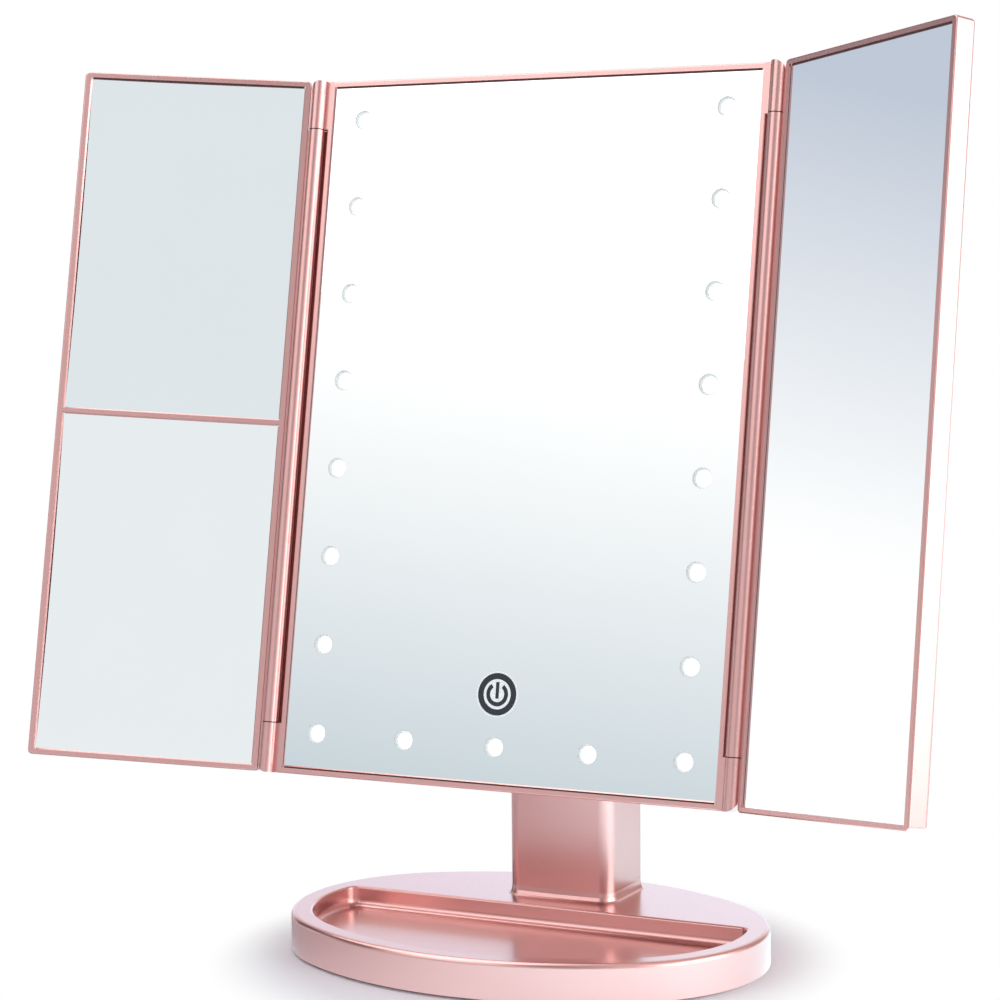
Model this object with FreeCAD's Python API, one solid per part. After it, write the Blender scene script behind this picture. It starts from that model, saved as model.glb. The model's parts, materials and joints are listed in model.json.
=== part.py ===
import FreeCAD, Part
import math
import os

# Lighted tri-fold vanity mirror: an oval tray base, a battery post at its back, and a tilting
# centre mirror with two folding wings. Millimetres, +Z up, the mirror faces -Y, and the origin is
# the middle of the underside. The head is drawn upright and flat, then folded and tilted.

V = FreeCAD.Vector

# Oval base with its cosmetics tray
base_width = 160.0
base_depth = 118.0
base_side_bulge = 9.0
base_top = 13.0
base_edge_round = 1.6
base_wall = 2.2
base_roof = 2.0
pad_thickness = 1.0
pad_inset = 5.0
cover_thickness = 1.6
cover_clearance = 0.15
tray_rim = 7.0
tray_gap_to_post = 11.0
tray_air_below = 1.8
tray_floor_thickness = 1.8
tray_corner_round = 3.5
tray_floor_round = 2.5
tray_edge_round = 0.8
base_screw_side = 35.0
base_screw_rear = 27.0
base_boss_radius = 3.5

# Post, with a gently bowed front
post_width = 37.5
post_depth = 27.3
post_front_bow = 0.8
post_corner = 4.5
post_back_corner = 3.0
post_wall = 2.2
post_sole = 4.0
post_flare = 1.3
post_flare_height = 3.0
post_flare_steps = 3
post_set_in = 8.7
post_cover_depth = 4.95
post_cover_gap = 0.1
post_cover_margin = 2.0
post_screw_x = 9.0
post_cover_screw_sunk = 2.0
post_boss_radius = 3.2
shelf_thickness = 1.6
post_over_cells = 36.6

# Battery cells, their contacts and the door behind them
cell_radius = 5.25
cell_length = 44.5
cell_nub_radius = 1.9
cell_nub_length = 0.8
cell_gap = 0.7
cell_levels = 2
cell_play = 0.05
cell_door_gap = 0.3
contact_thickness = 0.5
contact_depth = 6.0
door_side = 6.75
door_margin = 1.0
door_clearance = 0.15
door_thickness = 1.2
door_corner = 1.0
door_grip_radius = 5.0
door_grip_depth = 0.5
door_grip_drop = 15.0

# Charging inlet
inlet_board_width = 18.0
inlet_board_depth = 14.0
inlet_board_thickness = 1.2
inlet_rest_height = 3.0
inlet_rest_width = 1.6
socket_width = 7.5
socket_depth = 5.6
socket_height = 2.7
socket_wall = 0.35
socket_clearance = 0.2
socket_round = 0.8
socket_sunk = 0.5
socket_headroom = 4.1

# Tilt pivot of the head
swing_room = 3.0
rest_tilt = 10.5
shaft_radius = 3.0
shaft_play = 0.05
shaft_seat_play = 0.02
shaft_sunk = 0.6
washer_radius = 9.0
washer_thickness = 1.0
washer_play = 0.03
yoke_ear_margin = 0.55
yoke_plate = 4.0
yoke_corner = 6.0
yoke_boss_wall = 2.3
cheek_thickness = 5.0
cheek_eye = 11.0
cheek_root = 22.0
cap_radius = 7.0
cap_thickness = 1.8
cap_round = 0.8
cap_stem = 0.5

# Centre mirror
view_width = 151.3
view_height = 224.6
bezel = 1.75
bezel_lip = 0.8
frame_wall = 1.1
frame_depth = 8.0
frame_corner = 1.5
front_edge_round = 0.5
mirror_thickness = 2.0
glass_play = 0.1
back_depth = 6.0
back_wall = 1.8
back_edge_round = 2.5
housing_width = 76.0
housing_height = 110.0
housing_depth = 8.0
housing_wall = 2.0
housing_corner = 8.0
head_boss_radius = 2.6
head_boss_gap = 0.1
head_boss_merge = 0.5
head_boss_floor = 0.6
head_boss_end = 30.0

# Lights round the lower and side edges, and the touch spot
light_side_inset = 11.45
light_low_inset = 11.85
light_top_inset = 11.36
light_rows = 8
light_bottom_count = 3
light_hole_radius = 3.25
light_nub_play = 0.15
light_recess = 1.6
guide_thickness = 1.5
guide_margin = 0.4
chip_width = 3.4
chip_height = 2.8
chip_thickness = 0.9
chip_gap = 0.1
strip_width = 12.0
strip_margin = 6.0
strip_thickness = 1.0
touch_height = 27.9
touch_radius = 6.8
touch_clearance = 1.2
tongue_margin = 2.7
pillar_radius = 2.2
pillar_end = 45.0

# Control board behind the centre mirror
board_width = 46.0
board_height = 24.0
board_thickness = 1.6
board_margin = 3.0
board_post_height = 1.0
board_post_radius = 2.0
board_post_inset = 4.0
board_chip = 9.0
board_chip_thickness = 1.4

# Wing hinges
hinge_slot = 1.0
hinge_front = 0.5
barrel_radius = 2.6
knuckle_length = 16.0
knuckle_gap = 0.35
knuckle_corner = 3.6
hinge_guard_gap = 0.35
hinge_guard_thickness = 1.5
pin_radius = 1.0
pin_play = 0.03
pin_knuckle_hold = 13.0
pin_barrel_hold = 14.0

# Wings
wing_barrel_gap = 0.35
wing_meet_gap = 1.6
wing_bezel = 2.0
wing_frame_depth = 4.8
wing_back_depth = 2.4
wing_back_round = 1.2
wing_wall = 1.2
wing_web_front = 0.3
wing_pad_inset = 0.4
wing_pad_gap = 0.05
left_rest_fold = 19.4
right_rest_fold = 31.3
divider = 1.4
magnifier_thickness = 2.6
magnifier_radius = 1800.0

# Screws
screw_radius = 1.3
screw_head_radius = 2.4
screw_head_height = 1.1
screw_play = 0.05
screw_hole_play = 0.15
screw_bite = 3.8
yoke_screw_bite = 8.0

# Values worked out from the sizes above
base_end_radius = base_depth / 2 - base_side_bulge
tray_floor = pad_thickness + cover_thickness + tray_air_below + tray_floor_thickness
post_back_y = base_depth / 2 - post_set_in
post_front_y = post_back_y - post_depth
pivot_y = post_back_y - post_depth / 2
split_y = post_back_y - post_cover_depth
tray_back = post_front_y - tray_gap_to_post
base_screw_x = base_width / 2 - base_screw_side
base_screw_y = base_depth / 2 - base_screw_rear
sole_top = base_top + post_sole
socket_floor = sole_top + inlet_rest_height + inlet_board_thickness
shelf_base = socket_floor + socket_height + socket_headroom
level_pitch = cell_length + cell_nub_length + 2 * contact_thickness + 2 * cell_play + shelf_thickness
cells_top = shelf_base + cell_levels * level_pitch + shelf_thickness
cell_spacing = 2 * cell_radius + cell_gap
cell_y = post_back_y - post_wall - cell_door_gap - cell_radius
door_width = post_width - 2 * door_side
pivot_z = cells_top + post_over_cells
hollow_top = pivot_z - post_depth / 2
cover_low = sole_top
cover_high = hollow_top + post_cover_margin
frame_half = view_width / 2 + bezel
frame_low = -bezel
frame_high = view_height + bezel
pocket_half = frame_half - frame_wall
mirror_back = bezel_lip + mirror_thickness
guide_back = mirror_back + guide_thickness
chip_front = guide_back + chip_gap
strip_front = chip_front + chip_thickness
strip_back = strip_front + strip_thickness
back_face = frame_depth + back_depth
head_screw_face = frame_depth + back_wall
head_screw_bite = head_screw_face - screw_head_height - guide_back - head_boss_floor
light_column_x = view_width / 2 - light_side_inset
light_row_pitch = (view_height - light_low_inset - light_top_inset) / (light_rows - 1)
light_bottom_pitch = 2 * light_column_x / (light_bottom_count + 1)
light_nub_radius = light_hole_radius - light_nub_play
housing_face = back_face + housing_depth
yoke_back = housing_face + yoke_plate
yoke_half_height = cheek_root
pivot_behind_front = yoke_back + post_depth / 2 + swing_room
pivot_above_view = view_height / 2
cheek_inner = post_width / 2 + washer_thickness + 2 * washer_play
cheek_outer = cheek_inner + cheek_thickness
yoke_half_width = cheek_outer + 2 * (screw_head_radius + screw_hole_play + yoke_ear_margin)
hinge_x = frame_half + hinge_slot + barrel_radius
barrel_low = frame_low + knuckle_length + knuckle_gap
barrel_high = frame_high - knuckle_length - knuckle_gap
wing_start = barrel_radius + wing_barrel_gap
wing_end = hinge_x - wing_meet_gap / 2
tiny = 0.01
overcut = 1.0
up = V(0, 0, 1)
forward = V(0, -1, 0)


def box(x_low, x_high, y_low, y_high, z_low, z_high):
    """Return a block between two corners."""
    return Part.makeBox(x_high - x_low, y_high - y_low, z_high - z_low, V(x_low, y_low, z_low))


def rod(radius, start, end):
    """Return a round bar from one point to another."""
    way = end.sub(start)
    return Part.makeCylinder(radius, way.Length, start, way)


def oval(inset, z_low, z_high):
    """Return an upright block of the base's oval, two end arcs and two side arcs, shrunk by an inset."""
    half_width = base_width / 2
    half_depth = base_depth / 2
    end_x = half_width - base_end_radius
    side_y = (end_x ** 2 + half_depth ** 2 - base_end_radius ** 2) / (2 * (half_depth - base_end_radius))
    slant = math.hypot(end_x, side_y - half_depth)
    reach = (base_end_radius - inset) / slant
    meet_x = end_x + end_x * reach
    meet_y = (side_y - half_depth) * reach
    right = V(half_width - inset, 0, z_low)
    left = V(inset - half_width, 0, z_low)
    far = V(0, half_depth - inset, z_low)
    near = V(0, inset - half_depth, z_low)
    corners = [V(sx * meet_x, sy * meet_y, z_low) for sx, sy in ((1, -1), (1, 1), (-1, 1), (-1, -1))]
    middles = [right, far, left, near]
    arcs = [Part.Arc(corners[i], middles[i], corners[(i + 1) % 4]).toShape() for i in range(4)]
    return Part.Face(Part.Wire(arcs)).extrude(V(0, 0, z_high - z_low))


def edges_where(shape, test):
    """Return the edges whose bounding box passes a test."""
    return [edge for edge in shape.Edges if test(edge.BoundBox)]


def middle_of(edge):
    """Return the point halfway along an edge."""
    return edge.valueAt((edge.FirstParameter + edge.LastParameter) / 2)


def along(axis):
    """Return a test for straight edges that run along one axis."""
    def test(bounds):
        lengths = {"x": bounds.XLength, "y": bounds.YLength, "z": bounds.ZLength}
        own = lengths.pop(axis)
        return own > tiny and max(lengths.values()) < tiny
    return test


def at_level(axis, value):
    """Return a test for edges that lie at one level of an axis."""
    def test(bounds):
        low = getattr(bounds, axis + "Min")
        high = getattr(bounds, axis + "Max")
        return abs(low - value) < tiny and abs(high - value) < tiny
    return test


def joined(first, *others):
    """Return solids fused into one, without the seams of the pieces."""
    return first.fuse(list(others)).removeSplitter()


def export(node, *solids):
    """Write a node, one solid or a group of separate ones."""
    pieces = [piece for solid in solids for piece in solid.Solids]
    shape = pieces[0] if len(pieces) == 1 else Part.makeCompound(pieces)
    shape.exportStep("parts/" + node + ".step")


def screw(head, way, play=0, bite=screw_bite):
    """Return a countersunk screw with its flat head at a point, or with some play the hole for it."""
    cone = Part.makeCone(screw_head_radius + play, screw_radius + play, screw_head_height, head, way)
    shank = rod(screw_radius + play, head, head + way * (screw_head_height + bite + play))
    return joined(cone, shank)


def screw_well(head, way, depth):
    """Return the round well above a sunk screw head."""
    return rod(screw_head_radius + screw_hole_play, head, head - way * depth)


def rounded_plate(x_low, x_high, y_low, y_high, z_low, z_high, corner):
    """Return a plate that faces Y, with its four corners rounded."""
    plate = box(x_low, x_high, y_low, y_high, z_low, z_high)
    return plate.makeFillet(corner, edges_where(plate, along("y")))


# Base


def base_shell():
    """Return the moulded base: a hollow oval with a D-shaped tray in front of the post."""
    body = oval(0, pad_thickness, base_top)
    body = body.makeFillet(base_edge_round, edges_where(body, at_level("Z", base_top)))
    well = oval(tray_rim, tray_floor, base_top)
    well = well.common(box(-base_width, base_width, -base_depth, tray_back, 0, base_top))
    well = well.makeFillet(tray_corner_round, edges_where(well, along("z")))
    well = well.makeFillet(tray_floor_round, edges_where(well, at_level("Z", tray_floor)))
    body = body.cut(well)
    mouth = oval(tray_rim - tiny, base_top - tiny, base_top + tiny)
    mouth = mouth.common(box(-base_width, base_width, -base_depth, tray_back + tiny, 0, base_top + overcut))
    level = edges_where(body, at_level("Z", base_top))
    rim = [edge for edge in level if mouth.isInside(middle_of(edge), tiny, True)]
    body = body.makeFillet(tray_edge_round, rim)
    roof = base_top - base_roof
    body = body.cut(oval(base_wall, 0, tray_floor - tray_floor_thickness))
    rear = box(-base_width, base_width, tray_back + base_wall, base_depth, 0, roof)
    body = body.cut(oval(base_wall, 0, roof).common(rear))
    bosses = [rod(base_boss_radius, V(s * base_screw_x, base_screw_y, pad_thickness + cover_thickness),
                  V(s * base_screw_x, base_screw_y, roof)) for s in (-1, 1)]
    body = joined(body, *bosses)
    for head in base_screw_heads():
        body = body.cut(screw(head, up, screw_play))
    for head in post_screw_heads():
        body = body.cut(screw(head, up, screw_hole_play))
    return body


def base_screw_heads():
    """Return where the bottom cover's screws start, on its underside."""
    return [V(side * base_screw_x, base_screw_y, pad_thickness) for side in (-1, 1)]


def post_screw_heads():
    """Return where the post's screws start, under the roof of the base."""
    return [V(side * post_screw_x, pivot_y, base_top - base_roof) for side in (-1, 1)]


def base_bottom_cover():
    """Return the plate that closes the base from below."""
    plate = oval(base_wall + cover_clearance, pad_thickness, pad_thickness + cover_thickness)
    for head in base_screw_heads():
        plate = plate.cut(screw(head, up, screw_hole_play))
    return plate


def antislip_pad():
    """Return the rubber pad under the base."""
    return oval(pad_inset, 0, pad_thickness)


# Post


def post_block(grow, z_low, z_high):
    """Return a block of the post's section, grown or shrunk all round."""
    half = post_width / 2 + grow
    front = post_front_y - grow
    shoulder = front + post_front_bow
    back = post_back_y + grow
    left_front = V(-half, shoulder, z_low)
    right_front = V(half, shoulder, z_low)
    right_back = V(half, back, z_low)
    left_back = V(-half, back, z_low)
    bow = Part.Arc(left_front, V(0, front, z_low), right_front).toShape()
    sides = [Part.makeLine(right_front, right_back), Part.makeLine(right_back, left_back),
             Part.makeLine(left_back, left_front)]
    block = Part.Face(Part.Wire([bow] + sides)).extrude(V(0, 0, z_high - z_low))
    uprights = edges_where(block, along("z"))
    fronts = [edge for edge in uprights if edge.BoundBox.YMax < pivot_y]
    block = block.makeFillet(post_corner + grow, fronts)
    uprights = edges_where(block, along("z"))
    backs = [edge for edge in uprights if edge.BoundBox.YMin > back - tiny]
    return block.makeFillet(post_back_corner + grow, backs)


def post_flare_skirt():
    """Return the small concave skirt where the post meets the base."""
    wires = []
    for step in range(post_flare_steps + 1):
        turn = step / post_flare_steps * math.pi / 2
        grow = post_flare * (1 - math.sin(turn))
        height = base_top + post_flare_height * (1 - math.cos(turn))
        block = post_block(grow, height, height + overcut)
        sole = min(block.Faces, key=lambda face: face.CenterOfMass.z)
        wires.append(sole.OuterWire)
    return Part.makeLoft(wires, True, True)


def post_outside():
    """Return the whole post as one closed form, rounded over its pivot."""
    top = pivot_z + post_depth / 2
    block = post_block(0, base_top, top)
    dome = rod(post_depth / 2, V(-post_width, pivot_y, pivot_z), V(post_width, pivot_y, pivot_z))
    stem = box(-post_width, post_width, post_front_y, post_back_y, base_top, pivot_z)
    return block.common(dome.fuse(stem))


def post_hollow():
    """Return the room inside the post."""
    return post_block(-post_wall, sole_top, hollow_top)


def cover_slot(gap):
    """Return the space that the back cover takes, less a gap at its ends."""
    return box(-post_width, post_width, split_y, post_back_y + overcut, cover_low + gap, cover_high - gap)


def shelves():
    """Return the floors of the battery levels and the two rests of the inlet board."""
    inside = post_block(-post_wall, sole_top, hollow_top)
    floors = [box(-post_width, post_width, post_front_y, split_y, shelf_base + level * level_pitch,
                  shelf_base + level * level_pitch + shelf_thickness) for level in range(cell_levels + 1)]
    rest_x = inlet_board_width / 2 - inlet_rest_width
    rests = [box(min(side * rest_x, side * (rest_x + inlet_rest_width)),
                 max(side * rest_x, side * (rest_x + inlet_rest_width)),
                 split_y - inlet_board_depth, split_y, sole_top, sole_top + inlet_rest_height)
             for side in (-1, 1)]
    return [floor.common(inside) for floor in floors] + rests


def cover_screw_place():
    """Return where the back cover's screw starts, sunk below its outside."""
    return V(0, post_back_y - post_cover_screw_sunk, (cells_top + hollow_top) / 2)


def post_shell():
    """Return the front and sides of the post, with its shelves and the eye of the pivot."""
    shell = post_outside().cut(post_hollow()).cut(cover_slot(0))
    place = cover_screw_place()
    boss = rod(post_boss_radius, V(0, post_front_y + post_wall, place.z), V(0, split_y, place.z))
    shell = joined(shell, post_flare_skirt().cut(post_hollow()), boss, *shelves())
    bore = rod(shaft_radius + shaft_play, V(-post_width, pivot_y, pivot_z), V(post_width, pivot_y, pivot_z))
    shell = shell.cut(bore)
    for head in post_screw_heads():
        shell = shell.cut(screw(head, up, screw_play))
    return shell.cut(screw(place, forward, screw_play))


def door_opening(gap, depth, margin):
    """Return the window of the battery door, shrunk by a gap and a margin."""
    half = door_width / 2 - gap - margin
    return rounded_plate(-half, half, post_back_y - depth, post_back_y,
                         shelf_base + gap + margin, cells_top - gap - margin, door_corner)


def post_back_cover():
    """Return the back of the post, with the battery window and the inlet slot."""
    cover = post_outside().cut(post_hollow()).common(cover_slot(post_cover_gap))
    place = cover_screw_place()
    boss = rod(post_boss_radius, V(0, split_y, place.z), V(0, post_back_y - post_wall, place.z))
    cover = joined(cover, boss)
    cover = cover.cut(door_opening(0, door_thickness, 0))
    cover = cover.cut(door_opening(0, post_wall + overcut, door_margin))
    low = socket_floor - socket_clearance
    slot = rounded_plate(-socket_width / 2 - socket_clearance, socket_width / 2 + socket_clearance,
                         post_back_y - post_wall - overcut, post_back_y + overcut, low,
                         low + socket_height + 2 * socket_clearance, socket_round)
    cover = cover.cut(slot).cut(screw_well(place, forward, post_cover_screw_sunk))
    return cover.cut(screw(place, forward, screw_hole_play))


def battery_door():
    """Return the lift-off battery door, with a thumb hollow near its top."""
    door = door_opening(door_clearance, door_thickness, 0)
    thumb_z = cells_top - door_grip_drop
    centre = V(0, post_back_y + door_grip_radius - door_grip_depth, thumb_z)
    return door.cut(Part.makeSphere(door_grip_radius, centre))


def cell_levels_base():
    """Return the height of each battery level's floor."""
    return [shelf_base + shelf_thickness + level * level_pitch for level in range(cell_levels)]


def battery_cells():
    """Return the four cells, two to a level, with their contact nubs."""
    cells = []
    for floor in cell_levels_base():
        low = floor + contact_thickness + cell_play
        for side in (-1, 1):
            foot = V(side * cell_spacing / 2, cell_y, low)
            can_top = foot + V(0, 0, cell_length)
            nub_top = can_top + V(0, 0, cell_nub_length)
            cells.append(joined(rod(cell_radius, foot, can_top), rod(cell_nub_radius, can_top, nub_top)))
    return cells


def battery_contacts():
    """Return the contact strips at both ends of each battery level."""
    half = cell_spacing / 2 + cell_nub_radius
    low_y = cell_y - contact_depth / 2
    strips = []
    for floor in cell_levels_base():
        ceiling = floor + level_pitch - shelf_thickness - contact_thickness
        for height in (floor, ceiling):
            strips.append(box(-half, half, low_y, low_y + contact_depth, height, height + contact_thickness))
    return strips


def inlet_board():
    """Return the small board that carries the charging socket."""
    low = sole_top + inlet_rest_height
    back = post_back_y - post_wall - post_cover_gap
    return box(-inlet_board_width / 2, inlet_board_width / 2, back - inlet_board_depth, back,
               low, low + inlet_board_thickness)


def usb_socket():
    """Return the open metal shell of the charging socket, with its contact tongue."""
    low = socket_floor
    back = post_back_y - socket_sunk
    shell = rounded_plate(-socket_width / 2, socket_width / 2, back - socket_depth, back,
                          low, low + socket_height, socket_round)
    mouth = rounded_plate(-socket_width / 2 + socket_wall, socket_width / 2 - socket_wall,
                          back - socket_depth + socket_wall, back + overcut,
                          low + socket_wall, low + socket_height - socket_wall, socket_round - socket_wall)
    middle = low + socket_height / 2
    tongue = box(-socket_width / 4, socket_width / 4, back - socket_depth, back - socket_height / 2,
                 middle - socket_wall, middle + socket_wall)
    return joined(shell.cut(mouth), tongue)


# Centre mirror, drawn upright with its front at Y = 0 and its view starting at Z = 0


def light_places():
    """Return the X and Z of every light."""
    places = [(side * light_column_x, light_low_inset + row * light_row_pitch)
              for side in (-1, 1) for row in range(light_rows)]
    first = -(light_bottom_count - 1) / 2 * light_bottom_pitch
    return places + [(first + i * light_bottom_pitch, light_low_inset) for i in range(light_bottom_count)]


def head_boss_places():
    """Return the X and Z of the bosses that join the frame to its back cover."""
    rows = (head_boss_end, view_height / 2, view_height - head_boss_end)
    return [(side * (pocket_half - head_boss_radius + head_boss_merge), row) for side in (-1, 1) for row in rows]


def soft_front(plate, front, amount):
    """Return a plate with the edges of its front rounded."""
    return plate.makeFillet(amount, edges_where(plate, at_level("Y", front)))


def knuckle(side, upper):
    """Return one fixed hinge knuckle of the centre frame, flush with its end and rounded at the outer corner."""
    low = frame_high - knuckle_length if upper else frame_low
    high = low + knuckle_length
    body = rod(barrel_radius, V(side * hinge_x, -hinge_front, low), V(side * hinge_x, -hinge_front, high))
    root = side * (frame_half - frame_wall)
    web = box(min(root, side * hinge_x), max(root, side * hinge_x), 0,
              barrel_radius - hinge_front, low, high)
    tip = side * (hinge_x + barrel_radius)
    round_x = tip - side * knuckle_corner
    round_z = high - knuckle_corner if upper else low + knuckle_corner
    waste = box(min(round_x, tip), max(round_x, tip), -2 * barrel_radius, 2 * barrel_radius,
                round_z if upper else low, high if upper else round_z)
    waste = waste.cut(rod(knuckle_corner, V(round_x, -2 * barrel_radius, round_z),
                          V(round_x, 2 * barrel_radius, round_z)))
    return body.fuse(web).cut(waste)


def hinge_guard(side):
    """Return the strip from knuckle to knuckle that closes the slot behind a hinge barrel."""
    root = side * (frame_half - frame_wall)
    front = barrel_radius - hinge_front + hinge_guard_gap
    return box(min(root, side * hinge_x), max(root, side * hinge_x), front, front + hinge_guard_thickness,
               barrel_low - knuckle_gap, barrel_high + knuckle_gap)


def pin_ends(upper):
    """Return the two heights between which a hinge pin runs."""
    if upper:
        return barrel_high - pin_barrel_hold, frame_high - knuckle_length + pin_knuckle_hold
    return frame_low + knuckle_length - pin_knuckle_hold, barrel_low + pin_barrel_hold


def hinge_pin(side, upper, play):
    """Return a hinge pin, or with some play the hole that it runs in."""
    low, high = pin_ends(upper)
    return rod(pin_radius + play, V(side * hinge_x, -hinge_front, low - play),
               V(side * hinge_x, -hinge_front, high + play))


def center_frame():
    """Return the front shell of the centre mirror, with its bezel, bosses and knuckles."""
    shell = rounded_plate(-frame_half, frame_half, 0, frame_depth, frame_low, frame_high, frame_corner)
    shell = soft_front(shell, 0, front_edge_round)
    low = frame_low + frame_wall
    high = frame_high - frame_wall
    shell = shell.cut(box(-pocket_half, pocket_half, bezel_lip, frame_depth, low, high))
    shell = shell.cut(box(-view_width / 2, view_width / 2, -overcut, frame_depth, 0, view_height))
    bosses = []
    for x, z in head_boss_places():
        boss = rod(head_boss_radius, V(x, guide_back + head_boss_gap, z), V(x, frame_depth, z))
        bosses.append(boss)
    knuckles = [knuckle(side, upper) for side in (-1, 1) for upper in (False, True)]
    guards = [hinge_guard(side) for side in (-1, 1)]
    shell = joined(shell, *bosses, *knuckles, *guards)
    for x, z in head_boss_places():
        shell = shell.cut(screw(V(x, head_screw_face, z), forward, screw_play, head_screw_bite))
    for side in (-1, 1):
        for upper in (False, True):
            shell = shell.cut(hinge_pin(side, upper, pin_play))
    return shell


def center_back_cover():
    """Return the back shell of the centre mirror, with the raised housing that carries the yoke."""
    cover = rounded_plate(-frame_half, frame_half, frame_depth, back_face, frame_low, frame_high, frame_corner)
    cover = soft_front(cover, back_face, frame_corner)
    half = frame_half - back_wall
    cover = cover.cut(box(-half, half, frame_depth, back_face - back_wall,
                          frame_low + back_wall, frame_high - back_wall))
    cover = joined(cover, housing_block(0, back_face - back_wall, housing_face))
    cover = cover.cut(housing_block(housing_wall, frame_depth, housing_face - housing_wall))
    bosses = [rod(head_boss_radius + back_wall, V(x, frame_depth, z), V(x, back_face, z))
              for x, z in head_boss_places()]
    inside = box(-frame_half + back_wall / 2, frame_half - back_wall / 2, frame_depth, back_face,
                 frame_low, frame_high)
    bosses = [boss.common(inside) for boss in bosses]
    pillars = [rod(pillar_radius, V(side * light_column_x, strip_back, z),
                   V(side * light_column_x, back_face - back_wall / 2, z))
               for side in (-1, 1) for z in (pillar_end, view_height - pillar_end)]
    yoke_bosses = [rod(screw_radius + yoke_boss_wall, V(head.x, back_face, head.z),
                       V(head.x, housing_face - housing_wall / 2, head.z)) for head in yoke_screw_heads()]
    cover = joined(cover, *bosses, *pillars, *yoke_bosses, *board_posts())
    for x, z in head_boss_places():
        head = V(x, head_screw_face, z)
        cover = cover.cut(screw_well(head, forward, back_depth))
        cover = cover.cut(screw(head, forward, screw_hole_play, head_screw_bite))
    for head in yoke_screw_heads():
        cover = cover.cut(screw(head, forward, screw_play, yoke_screw_bite))
    return cover


def housing_block(inset, y_low, y_high):
    """Return the raised block behind the centre mirror, shrunk all round by an inset."""
    half = housing_width / 2 - inset
    tall = housing_height / 2 - inset
    block = rounded_plate(-half, half, y_low, y_high, pivot_above_view - tall, pivot_above_view + tall,
                          housing_corner - inset)
    if inset > 0:
        return block
    return soft_front(block, y_high, back_edge_round)


def center_mirror():
    """Return the centre glass, with a clear hole for every light."""
    half = pocket_half - glass_play
    low = frame_low + frame_wall + glass_play
    high = frame_high - frame_wall - glass_play
    glass = box(-half, half, bezel_lip, mirror_back, low, high)
    for x, z in light_places():
        glass = glass.cut(rod(light_hole_radius, V(x, 0, z), V(x, mirror_back + overcut, z)))
    return glass


def light_guide():
    """Return the milky diffuser behind the glass, with a nub in every light hole."""
    half = pocket_half - guide_margin
    low = frame_low + frame_wall + guide_margin
    high = frame_high - frame_wall - guide_margin
    sheet = box(-half, half, mirror_back, guide_back, low, high)
    touch_room = touch_radius + touch_clearance
    sheet = sheet.cut(rod(touch_room, V(0, 0, touch_height), V(0, guide_back + overcut, touch_height)))
    nubs = [rod(light_nub_radius, V(x, bezel_lip + light_recess, z), V(x, guide_back, z))
            for x, z in light_places()]
    return joined(sheet, *nubs)


def led_board():
    """Return the U-shaped light strip, with a tongue that carries the touch sensor."""
    low = light_low_inset - strip_margin
    high = view_height - light_top_inset + strip_margin
    outer = light_column_x + strip_width / 2
    inner = light_column_x - strip_width / 2
    left = box(-outer, -inner, strip_front, strip_back, low, high)
    right = box(inner, outer, strip_front, strip_back, low, high)
    foot = box(-outer, outer, strip_front, strip_back, low, low + strip_width)
    reach = touch_radius + tongue_margin
    tongue = box(-reach, reach, strip_front, strip_back, low, touch_height + reach)
    return joined(foot, left, right, tongue)


def led_chips():
    """Return the light chips on the strip, one behind every nub."""
    return [box(x - chip_width / 2, x + chip_width / 2, chip_front, strip_front,
                z - chip_height / 2, z + chip_height / 2) for x, z in light_places()]


def touch_sensor():
    """Return the sensor pad between the glass and the strip's tongue."""
    return rod(touch_radius, V(0, mirror_back, touch_height), V(0, strip_front, touch_height))


def board_place():
    """Return the height of the middle of the control board."""
    return pivot_above_view + housing_height / 2 - housing_wall - board_margin - board_height / 2


def board_posts():
    """Return the short posts that hold the control board off the housing."""
    wall = housing_face - housing_wall
    x = board_width / 2 - board_post_inset
    z = board_height / 2 - board_post_inset
    return [rod(board_post_radius, V(sx * x, wall - board_post_height, board_place() + sz * z),
                V(sx * x, wall + housing_wall / 2, board_place() + sz * z))
            for sx in (-1, 1) for sz in (-1, 1)]


def control_board():
    """Return the driver board with its main chip."""
    back = housing_face - housing_wall - board_post_height
    front = back - board_thickness
    middle = board_place()
    board = box(-board_width / 2, board_width / 2, front, back,
                middle - board_height / 2, middle + board_height / 2)
    chip = box(-board_chip / 2, board_chip / 2, front - board_chip_thickness, front,
               middle - board_chip / 2, middle + board_chip / 2)
    return joined(board, chip)


def head_screws():
    """Return the screws of the centre back cover."""
    return [screw(V(x, head_screw_face, z), forward, 0, head_screw_bite) for x, z in head_boss_places()]


# Tilt hinge


def yoke_screw_heads():
    """Return where the yoke's screws start, on the back of its plate."""
    x = (cheek_outer + yoke_half_width) / 2
    z = yoke_half_height - yoke_corner
    return [V(sx * x, yoke_back, pivot_above_view + sz * z) for sx in (-1, 1) for sz in (-1, 1)]


def cheek(side):
    """Return one cheek of the yoke, from its broad root to the eye round the shaft."""
    inner = side * cheek_inner
    reach = V(side * cheek_thickness, 0, 0)
    root = yoke_back - yoke_plate / 2
    outline = [V(inner, root, pivot_above_view - cheek_root),
               V(inner, pivot_behind_front, pivot_above_view - cheek_eye),
               V(inner, pivot_behind_front, pivot_above_view + cheek_eye),
               V(inner, root, pivot_above_view + cheek_root)]
    arm = Part.Face(Part.makePolygon(outline + [outline[0]])).extrude(reach)
    middle = V(inner, pivot_behind_front, pivot_above_view)
    return arm.fuse(rod(cheek_eye, middle, middle + reach))


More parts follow.
